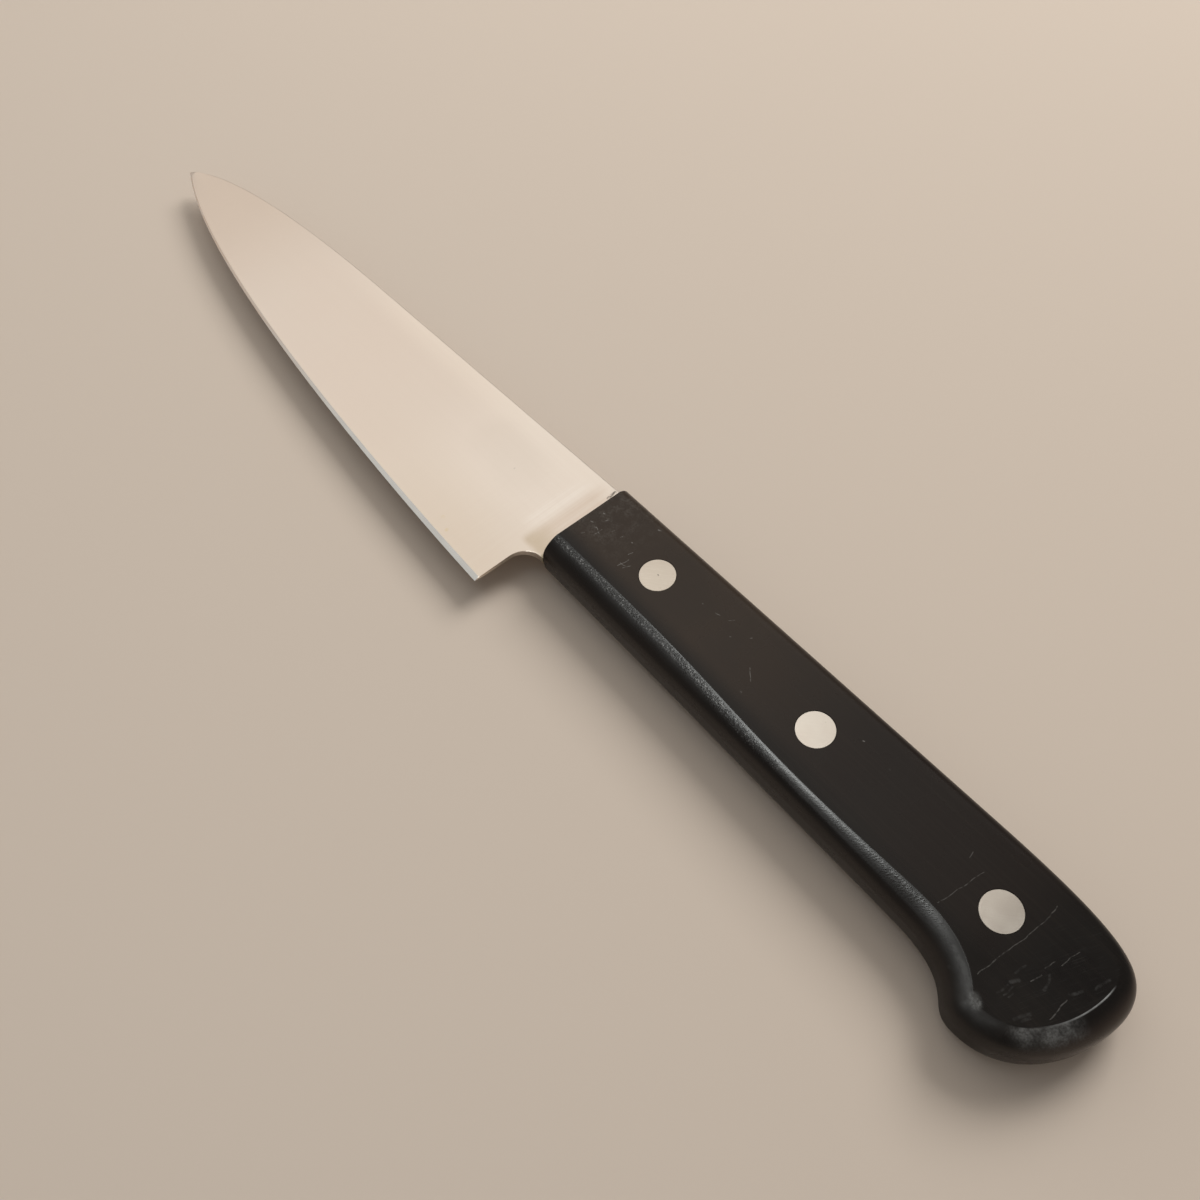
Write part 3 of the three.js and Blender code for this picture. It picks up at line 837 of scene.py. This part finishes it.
# Sets what varies over the surface. Heights of the relief are in millimetres.
def dress(tree, colour, roughness, relief, metallic=0):
    shader = tree.nodes["Principled BSDF"]
    shader.inputs["Metallic"].default_value = metallic
    feed(tree, shader.inputs["Base Color"], colour)
    feed(tree, shader.inputs["Roughness"], roughness)
    bump = add_node(tree, "ShaderNodeBump")
    bump.inputs["Distance"].default_value = MM
    bump.inputs["Strength"].default_value = 1
    feed(tree, bump.inputs["Height"], relief)
    feed(tree, shader.inputs["Normal"], bump.outputs["Normal"])
    return shader


# One mark of use, from its start, end and width.
def mark_mask(tree, effects, place, mark):
    start, end, width = mark
    return use(tree, effects["scratch"], Place=place, Start=(*start, 0), End=(*end, 0), Width=width)


# Scratches that wander a little and are broken in places.
def scratch_marks(tree, effects, place, marks):
    wander = add_node(tree, "ShaderNodeTexNoise")
    feed(tree, wander.inputs["Vector"], place)
    wander.inputs["Scale"].default_value = 0.35
    shift = vector_calc(tree, "SUBTRACT", wander.outputs["Color"], (0.5, 0.5, 0.5))
    wandering = vector_calc(tree, "ADD", place, shift)
    total = 0.0
    for mark in marks:
        total = calc(tree, "MAXIMUM", total, mark_mask(tree, effects, wandering, mark))
    whole = use(tree, effects["cloud"], Place=place, Size=0.6, Low=0.36, High=0.6)
    return product(tree, total, mix(tree, whole, 0.15, 1))


def blade_steel(effects):
    material, tree, place = new_material("blade_steel")
    x, y, _ = split(tree, place)
    patches = use(tree, effects["cloud"], Place=place, Size=26.0, Low=0.35, High=0.65)
    stain = use(tree, effects["cloud"], Place=place, Size=2.2, Low=0.25, High=0.6)
    grind = use(tree, effects["streaks"], Place=place, Angle=math.pi / 2, Length=22.0, Width=0.5,
                Low=0.35, High=0.7)
    grind = product(tree, grind, ease(tree, x, 30, 4, 0.15, 1))
    polish = use(tree, effects["streaks"], Place=place, Angle=0.03, Length=60.0, Width=0.9,
                 Low=0.4, High=0.75)
    smudge = mark_mask(tree, effects, place, STEEL_SMUDGE)
    stains = scratch_marks(tree, effects, place, STEEL_STAINS)
    nicks = scratch_marks(tree, effects, place, STEEL_NICKS)
    grime = product(tree, ease(tree, x, 1.1, 0.1), stain)
    # Painted reflection: the steel is lighter towards the heel.
    near = ease(tree, x, 45, 18)
    # Painted reflection: the steel is darker and warmer towards the tip.
    tip_reflection_fade = ease(tree, x, 80, 118)
    neck = zone(tree, (x, 6.5, 4.7), (y, -8, -3), (y, 11.2, 9.8))
    yellow = product(tree, neck, ease(tree, y, 4, 9.5), mix(tree, stain, 0.6, 1))
    # Partly a polished band and partly a painted highlight where the grind runs into the neck.
    plunge_polish_and_sheen = zone(tree, (x, 5.2, 6.5), (x, 10.5, 7.5), (y, 9.5, 6), (y, -6, -2))
    # Painted highlight: the steel is lighter along the spine side.
    spine_sheen = zone(tree, (y, 1, -7), (x, 95, 60))
    # Painted reflection: a darker tone on the edge side near the heel.
    heel = zone(tree, (x, 60, 10), (y, 3, 20))
    colour = layered(
        tree, tint(tree, patches, (0.775, 0.68, 0.605), (0.79, 0.7, 0.625)),
        (tip_reflection_fade, 1, (0.71, 0.608, 0.525)),
        (spine_sheen, 1, (0.87, 0.78, 0.695)),
        (near, 0.7, (0.863, 0.793, 0.724)),
        (heel, 1, (0.77, 0.675, 0.58)),
        (plunge_polish_and_sheen, mix(tree, grind, 0.2, 0.7), (0.91, 0.85, 0.79)),
        (neck, mix(tree, grind, 1, 0.7), (0.75, 0.65, 0.565)),
        (grind, 0.09, (0.92, 0.87, 0.8)),
        (polish, 0.06, (0.7, 0.62, 0.54)),
        (smudge, mix(tree, patches, 0.15, 0.3), (0.69, 0.615, 0.54)),
        (yellow, 0.85, (0.63, 0.537, 0.42)),
        (stains, 0.4, (0.7, 0.57, 0.31)),
        (grime, 0.75, (0.3, 0.27, 0.17)),
        (nicks, 0.85, (0.05, 0.045, 0.035)),
    )
    roughness = mix(tree, patches, 0.31, 0.34)
    roughness = mix(tree, product(tree, grind, 0.4), roughness, 0.4)
    roughness = mix(tree, grime, roughness, 0.6)
    relief = product(tree, calc(tree, "ADD", grind, polish), 0.0004)
    dress(tree, colour, roughness, relief, metallic=1)
    return material


def honed_edge(effects):
    material, tree, place = new_material("honed_edge")
    lines = use(tree, effects["streaks"], Place=place, Angle=-0.06, Length=20.0, Width=0.4,
                Low=0.35, High=0.7)
    patches = use(tree, effects["cloud"], Place=place, Size=5.0, Low=0.4, High=0.62)
    # Painted reflection: the honed bevel is darker and warmer towards the tip.
    tip_reflection_fade = ease(tree, split(tree, place)[0], 35, 100)
    colour = layered(
        tree, tint(tree, patches, (0.58, 0.575, 0.555), (0.54, 0.535, 0.52)),
        (tip_reflection_fade, 1, (0.5, 0.395, 0.32)),
        (lines, 0.3, (0.64, 0.635, 0.615)),
    )
    roughness = mix(tree, lines, 0.16, 0.2)
    dress(tree, colour, roughness, product(tree, lines, 0.0003), metallic=1)
    return material


def black_wood(effects):
    material, tree, place = new_material("black_wood")
    x, y, z = split(tree, place)
    depth = calc(tree, "SUBTRACT", HALF_HANDLE, calc(tree, "ABSOLUTE", z))
    upper = ease(tree, z, 1, 3)
    front = ease(tree, x, -66, -30)
    # Painted reflection: the flats' base colour is a lighter warm brown at the front and darker towards the
    # rear.
    rear = ease(tree, x, -28, -64)
    # Painted shade: the flat's rear end is darker still.
    rear_end_shade = ease(tree, x, -84, -95)
    # Painted shade: the belly's side below the flat is darker.
    low = ease(tree, y, 3.5, 7)
    # Painted reflection of the floor: the lower part of the belly's side is a lighter brown.
    side = product(tree, low, ease(tree, depth, 0.5, 1.8))
    hook = product(tree, low, zone(tree, (x, -78, -86), (x, -98, -94)))
    reach = ease(tree, x, -48, -30, 1.3, 0.55)
    shoulder = zone(tree, (y, 2, 5), (depth, 0.02, 0.12), (depth, reach, 0.18))
    # Painted reflection of the floor: the butt's rounded wall is browner.
    butt_wall_reflection = zone(tree, (x, -98, -103), (depth, 0.2, 1.4))
    butt = zone(tree, (x, -96, -98), (y, 12, 9.5), (y, 2, 5), (depth, 0.01, 0.05), (depth, 2.2, 0.1))
    # Painted highlight: a thin pale line along the butt's crease, strongest towards the spine.
    crease_highlight = product(tree, upper, zone(tree, (depth, 0, 0.006), (depth, 0.07, 0.012), (x, -97, -100),
                                          (y, 10, -1), (y, -3.8, -2.2)))
    rubbed_end = product(tree, upper, zone(tree, (x, -90, -97), (depth, 0.3, 0.05)))
    fibres = use(tree, effects["streaks"], Place=place, Angle=0.02, Length=16.0, Width=0.28,
                 Low=0.45, High=0.75)
    patches = use(tree, effects["cloud"], Place=place, Size=9.0, Low=0.35, High=0.65)
    haze = use(tree, effects["cloud"], Place=place, Size=1.6, Low=0.35, High=0.7)
    grain = use(tree, effects["cloud"], Place=place, Size=0.32, Low=0.35, High=0.65)
    dashes = use(tree, effects["streaks"], Place=place, Angle=0.9, Length=1.1, Width=0.18,
                 Low=0.4, High=0.7)
    rubs = use(tree, effects["streaks"], Place=place, Angle=1.2, Length=4.0, Width=0.14,
               Low=0.5, High=0.72)
    dust = use(tree, effects["speckle"], Place=place, Size=2.3, Radius=0.16, Cover=0.2)
    # Painted glints, for the shoulder's sheen towards the front.
    sheen_glints = use(tree, effects["speckle"], Place=place, Size=0.26, Radius=0.22, Cover=0.5)
    scratches = product(tree, upper, scratch_marks(tree, effects, place, HANDLE_SCRATCHES))
    scuffs = product(tree, upper, scratch_marks(tree, effects, place, HANDLE_SCUFFS))
    smears = product(tree, upper, scratch_marks(tree, effects, place, HANDLE_SMEARS))
    # Painted highlight: a thin pale line along the hook's crease.
    hook_gleam = product(tree, upper, scratch_marks(tree, effects, place, HOOK_GLEAM))
    # Painted highlight: a soft pale spot at the hook's corner.
    spot = mark_mask(tree, effects, place, HOOK_GLINT)
    spot = product(tree, upper, spot, spot, mix(tree, haze, 0.4, 1), mix(tree, grain, 0.4, 1))
    front_haze = product(tree, upper, zone(tree, (x, -15, -2), (y, 6, 2)), haze, grain)
    # Painted sheen: a pale blue-grey haze on the butt's round just below the crease.
    butt_sheen = product(tree, upper, butt, mix(tree, haze, 0.3, 1), mix(tree, grain, 0.5, 1))
    colour = layered(
        tree, tint(tree, rear, (0.031, 0.021, 0.0145), (0.0105, 0.0066, 0.005)),
        (rear_end_shade, 1, (0.004, 0.003, 0.0026)),
        (low, 1, (0.006, 0.0044, 0.0035)),
        (side, 1, (0.018, 0.013, 0.0105)),
        (butt_wall_reflection, 0.85, (0.036, 0.024, 0.0185)),
        (patches, 0.2, (0.012, 0.0095, 0.0078)),
        (fibres, 0.12, (0.034, 0.026, 0.02)),
        (front_haze, 0.5, (0.09, 0.08, 0.07)),
        (butt_sheen, 1, (0.17, 0.175, 0.175)),
        (crease_highlight, mix(tree, haze, 0.6, 1), (0.34, 0.355, 0.36)),
        # Painted sheen on the belly's shoulder.
        (product(tree, shoulder, haze), 0.3, (0.035, 0.034, 0.033)),
        # Painted glints in the shoulder's sheen towards the front.
        (product(tree, shoulder, shoulder, sheen_glints, front), 0.8, (0.26, 0.268, 0.268)),
        (dust, 0.5, (0.15, 0.145, 0.135)),
        (product(tree, rubbed_end, rubs, haze), 0.1, (0.1, 0.1, 0.098)),
        (product(tree, smears, mix(tree, haze, 0.3, 1)), 0.3, (0.1, 0.102, 0.102)),
        (hook_gleam, 0.14, (0.15, 0.155, 0.155)),
        (spot, 0.6, (0.24, 0.25, 0.25)),
        (scuffs, 0.75, (0.2, 0.195, 0.185)),
        (scratches, 0.42, (0.15, 0.146, 0.138)),
    )
    roughness = mix(tree, patches, 0.25, 0.3)
    roughness = mix(tree, shoulder, roughness, ease(tree, x, -54, -14, 0.19, 0.37))
    roughness = mix(tree, product(tree, hook, ease(tree, depth, 0.005, 0.04)), roughness, 0.5)
    roughness = mix(tree, scratches, roughness, 0.5)
    sheen_grain = product(tree, grain, shoulder, front, 0.022)
    sheen_dashes = product(tree, dashes, shoulder, zone(tree, (x, -22, -46), (x, -96, -82)), 0.006)
    relief = calc(tree, "ADD", sheen_grain, sheen_dashes)
    relief = calc(tree, "ADD", relief, product(tree, fibres, 0.0006))
    relief = calc(tree, "SUBTRACT", relief, product(tree, scratches, 0.006))
    shader = dress(tree, colour, roughness, relief)
    shader.inputs["Specular IOR Level"].default_value = 0.25
    return material


def rivet_metal(effects):
    material, tree, place = new_material("rivet_metal")
    patches = use(tree, effects["cloud"], Place=place, Size=3.0, Low=0.35, High=0.65)
    turning = use(tree, effects["streaks"], Place=place, Angle=0.7, Length=5.0, Width=0.16,
                  Low=0.45, High=0.7)
    specks = use(tree, effects["speckle"], Place=place, Size=0.9, Radius=0.16, Cover=0.3)
    pits = scratch_marks(tree, effects, place, RIVET_PITS)
    # Painted shade: the rivets' metal is darker towards the handle's front.
    front_rivet_shade = ease(tree, split(tree, place)[0], -40, -25)
    colour = layered(
        tree, tint(tree, patches, (0.68, 0.625, 0.56), (0.7, 0.65, 0.585)),
        (front_rivet_shade, 1, (0.575, 0.515, 0.445)),
        (turning, 0.25, (0.76, 0.71, 0.65)),
        (specks, 0.3, (0.42, 0.38, 0.32)),
        (pits, 0.8, (0.08, 0.07, 0.06)),
    )
    roughness = mix(tree, patches, 0.3, 0.34)
    relief = calc(tree, "SUBTRACT", product(tree, turning, 0.0006), product(tree, pits, 0.02))
    dress(tree, colour, roughness, relief, metallic=1)
    return material


# Rivets

# A tree that turns the section of half a rivet, headed on the upper side, and sets one at each point.
def rivet_tree():
    tree = bpy.data.node_groups.new("rivet_row", "GeometryNodeTree")
    tree.interface.new_socket("Points", in_out="INPUT", socket_type="NodeSocketGeometry")
    for label in RIVET_INPUTS:
        tree.interface.new_socket(label, in_out="INPUT", socket_type="NodeSocketFloat")
    tree.interface.new_socket("Sides", in_out="INPUT", socket_type="NodeSocketInt")
    tree.interface.new_socket("Metal", in_out="INPUT", socket_type="NodeSocketMaterial")
    tree.interface.new_socket("Rivets", in_out="OUTPUT", socket_type="NodeSocketGeometry")
    given = add_node(tree, "NodeGroupInput").outputs
    half, head, rim_ease = given["Half Height"], given["Head Radius"], given["Rim Ease"]
    shank, end, bore = given["Shank Radius"], given["Shank End"], given["Bore Radius"]
    rim = calc(tree, "SUBTRACT", half, given["Crown"])
    inner = calc(tree, "SUBTRACT", head, rim_ease)
    seat = calc(tree, "SUBTRACT", half, given["Head Depth"])
    section = [
        (0.0, half),
        (product(tree, inner, 0.5), mix(tree, 0.25, half, rim)),
        (inner, rim),
        (head, calc(tree, "SUBTRACT", rim, rim_ease)),
        (head, seat),
        (shank, seat),
        (shank, calc(tree, "ADD", end, given["Chamfer"])),
        (calc(tree, "SUBTRACT", shank, given["Chamfer"]), end),
        (bore, end),
        (bore, given["Bore Bottom"]),
        (0.0, given["Bore Bottom"]),
    ]
    grid = add_node(tree, "GeometryNodeMeshGrid")
    columns = calc(tree, "ADD", given["Sides"], 1.0)
    grid.inputs["Vertices X"].default_value = len(section)
    feed(tree, grid.inputs["Vertices Y"], columns)
    index = add_node(tree, "GeometryNodeInputIndex").outputs[0]
    step = calc(tree, "FLOOR", calc(tree, "DIVIDE", calc(tree, "ADD", index, 0.5), columns))
    column = calc(tree, "SUBTRACT", index, product(tree, step, columns))
    angle = calc(tree, "DIVIDE", product(tree, column, 2 * math.pi), given["Sides"])
    radius, height = (pick(tree, step, values) for values in zip(*section))
    place = add_node(tree, "GeometryNodeSetPosition")
    feed(tree, place.inputs["Geometry"], grid.outputs["Mesh"])
    feed(tree, place.inputs["Position"], join(tree, product(tree, radius, calc(tree, "COSINE", angle)),
                                              product(tree, radius, calc(tree, "SINE", angle)), height))
    merge = add_node(tree, "GeometryNodeMergeByDistance")
    feed(tree, merge.inputs["Geometry"], place.outputs[0])
    merge.inputs["Distance"].default_value = RIVET_MERGE_DISTANCE
    row = add_node(tree, "GeometryNodeInstanceOnPoints")
    feed(tree, row.inputs["Points"], given["Points"])
    feed(tree, row.inputs["Instance"], merge.outputs[0])
    feed(tree, row.inputs["Rotation"], join(tree, given["Turn"], 0.0, 0.0))
    real = add_node(tree, "GeometryNodeRealizeInstances")
    feed(tree, real.inputs[0], row.outputs[0])
    metal = add_node(tree, "GeometryNodeSetMaterial")
    feed(tree, metal.inputs["Geometry"], real.outputs[0])
    feed(tree, metal.inputs["Material"], given["Metal"])
    feed(tree, add_node(tree, "NodeGroupOutput").inputs[0], metal.outputs[0])
    return tree


# The value of a list that belongs to a whole number.
def pick(tree, index, values):
    node = add_node(tree, "GeometryNodeIndexSwitch", data_type="FLOAT")
    while len(node.index_switch_items) < len(values):
        node.index_switch_items.new()
    feed_all(tree, node.inputs, (index, *values))
    return node.outputs[0]


def make_rivets(name, tree, metal, sizes):
    mesh = bpy.data.meshes.new(name)
    mesh.from_pydata([in_frame(x, 0, 0) for x in RIVET_SETBACKS], [], [])
    row = new_object(name, mesh)
    modifier = row.modifiers.new("rivets", "NODES")
    modifier.node_group = tree
    inputs = {item.name: item.identifier for item in tree.interface.items_tree if item.in_out == "INPUT"}
    for label, value in sizes.items():
        modifier[inputs[label]] = value
    modifier[inputs["Sides"]] = RIVET_SIDES
    modifier[inputs["Metal"]] = metal
    graph = bpy.context.evaluated_depsgraph_get()
    row_mesh = bpy.data.meshes.new_from_object(row.evaluated_get(graph))
    row.modifiers.clear()
    row.data = row_mesh
    shade(row, CREASE_ANGLE)
    return row


def rivet_sizes(**own):
    shared = {"Half Height": HALF_HANDLE, "Head Radius": HEAD_RADIUS, "Head Depth": HEAD_DEPTH,
              "Rim Ease": RIM_EASE, "Crown": HEAD_CROWN}
    return {label: value * MM for label, value in {**shared, **own}.items()}


def make_pins(tree, metal):
    seat = HALF_HANDLE - HEAD_DEPTH
    end = RIVET_END_GAP - seat
    sizes = rivet_sizes(**{"Shank Radius": PIN_RADIUS, "Shank End": end, "Chamfer": PIN_CHAMFER,
                           "Bore Radius": 0.0, "Bore Bottom": end})
    return make_rivets("rivet_pins", tree, metal, {**sizes, "Turn": 0.0})


def make_sleeves(tree, metal):
    seat = HALF_HANDLE - HEAD_DEPTH
    sizes = rivet_sizes(**{"Shank Radius": SLEEVE_RADIUS, "Shank End": RIVET_END_GAP - seat, "Chamfer": 0.0,
                           "Bore Radius": PIN_RADIUS + FIT, "Bore Bottom": seat})
    return make_rivets("rivet_sleeves", tree, metal, {**sizes, "Turn": math.pi})


# Floor, light and camera

def make_floor():
    mesh = bpy.data.meshes.new("floor")
    turns = [2 * math.pi * side / FLOOR_SIDES for side in range(FLOOR_SIDES)]
    rim = [(FLOOR_RADIUS * math.cos(turn), FLOOR_RADIUS * math.sin(turn), FLOOR_HEIGHT) for turn in turns]
    mesh.from_pydata(rim, [], [range(FLOOR_SIDES)])
    floor = new_object("floor", mesh)
    material = bpy.data.materials.new("pale_floor")
    material.use_nodes = True
    shader = material.node_tree.nodes["Principled BSDF"]
    shader.inputs["Base Color"].default_value = FLOOR_COLOUR
    shader.inputs["Roughness"].default_value = FLOOR_ROUGHNESS
    mesh.materials.append(material)


# A soft rectangular lamp of the given radiance, which shines straight down or to a target. It can be left
# out of mirrored light or of diffuse light.
def softbox(name, centre, size, radiance, colour, target=None, mirrored=True, diffuse=True):
    width, height = size
    lamp = bpy.data.lights.new(name, "AREA")
    lamp.shape = "RECTANGLE"
    lamp.size = width
    lamp.size_y = height
    lamp.energy = math.pi * width * height * radiance
    lamp.color = colour
    light = bpy.data.objects.new(name, lamp)
    bpy.context.scene.collection.objects.link(light)
    light.location = centre
    straight_down = (centre[0], centre[1], 0)
    way = Vector(target or straight_down) - Vector(centre)
    light.rotation_mode = "QUATERNION"
    light.rotation_quaternion = way.to_track_quat("-Z", "Y")
    light.visible_glossy = mirrored
    light.visible_diffuse = diffuse
    return light


# Keeps a light off a piece, as a card set up beside the lamp does.
def keep_off(light, piece):
    shaded = bpy.data.collections.new(f"{piece.name}_shaded")
    shaded.objects.link(piece)
    shaded.collection_objects[0].light_linking.link_state = "EXCLUDE"
    light.light_linking.receiver_collection = shaded


# The light of the room and the lamps. Gives back the strip that makes the sheen on the belly's shoulder.
def make_light():
    world = bpy.data.worlds.new("room")
    world.use_nodes = True
    bpy.context.scene.world = world
    background = world.node_tree.nodes["Background"]
    background.inputs["Color"].default_value = ROOM_COLOUR
    background.inputs["Strength"].default_value = ROOM_STRENGTH
    softbox("ceiling_box", (0.79, -0.5, 0.7), (1.64, 0.94), 0.7, (1.0, 0.95, 0.88))
    softbox("edge_box", (1.2, 0.145, 0.7), (1.8, 0.35), 0.64, (1.0, 0.99, 0.95))
    softbox("key_box", (0.12, -0.8, 0.7), (0.55, 0.55), 8.5, (1.0, 0.97, 0.93), target=(0, 0, 0),
            mirrored=False)
    strip = softbox("window_strip", (0.165, 0.13, 0.76), (0.25, 0.14), 23.5, WINDOW_COLOUR, diffuse=False)
    softbox("window_glow", (0.135, 0.32, 0.76), (0.23, 0.24), 5.5, WINDOW_COLOUR, diffuse=False)
    softbox("side_glow", (0.13, 0.75, 0.76), (0.26, 0.6), 1.3, (0.98, 1.0, 0.98), diffuse=False)
    return strip


def make_camera():
    lens = bpy.data.cameras.new("camera")
    lens.sensor_width = SENSOR_WIDTH
    lens.lens = FOCAL_LENGTH
    lens.clip_start = CAMERA_NEAR
    camera = bpy.data.objects.new("camera", lens)
    bpy.context.scene.collection.objects.link(camera)
    turn = Matrix((CAMERA_RIGHT, CAMERA_UP, -CAMERA_FORWARD)).transposed().to_4x4()
    camera.matrix_world = Matrix.Translation(CAMERA_PLACE) @ turn
    bpy.context.scene.camera = camera


def main():
    bpy.context.scene.view_settings.view_transform = "Standard"
    make_camera()
    make_floor()
    window_strip = make_light()
    effects = make_effects()
    handle = make_handle()
    handle.data.materials.append(black_wood(effects))
    blade = make_blade()
    blade.data.materials.append(blade_steel(effects))
    blade.data.materials.append(honed_edge(effects))
    keep_off(window_strip, blade)
    tree = rivet_tree()
    metal = rivet_metal(effects)
    pins = make_pins(tree, metal)
    sleeves = make_sleeves(tree, metal)
    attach(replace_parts(handle, "handle"), "root")
    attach(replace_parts(blade, "blade"), "root")
    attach(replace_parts(pins, *[f"{name}_rivet_pin" for name in RIVET_NAMES]), "root")
    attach(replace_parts(sleeves, *[f"{name}_rivet_sleeve" for name in RIVET_NAMES]), "root")


main()
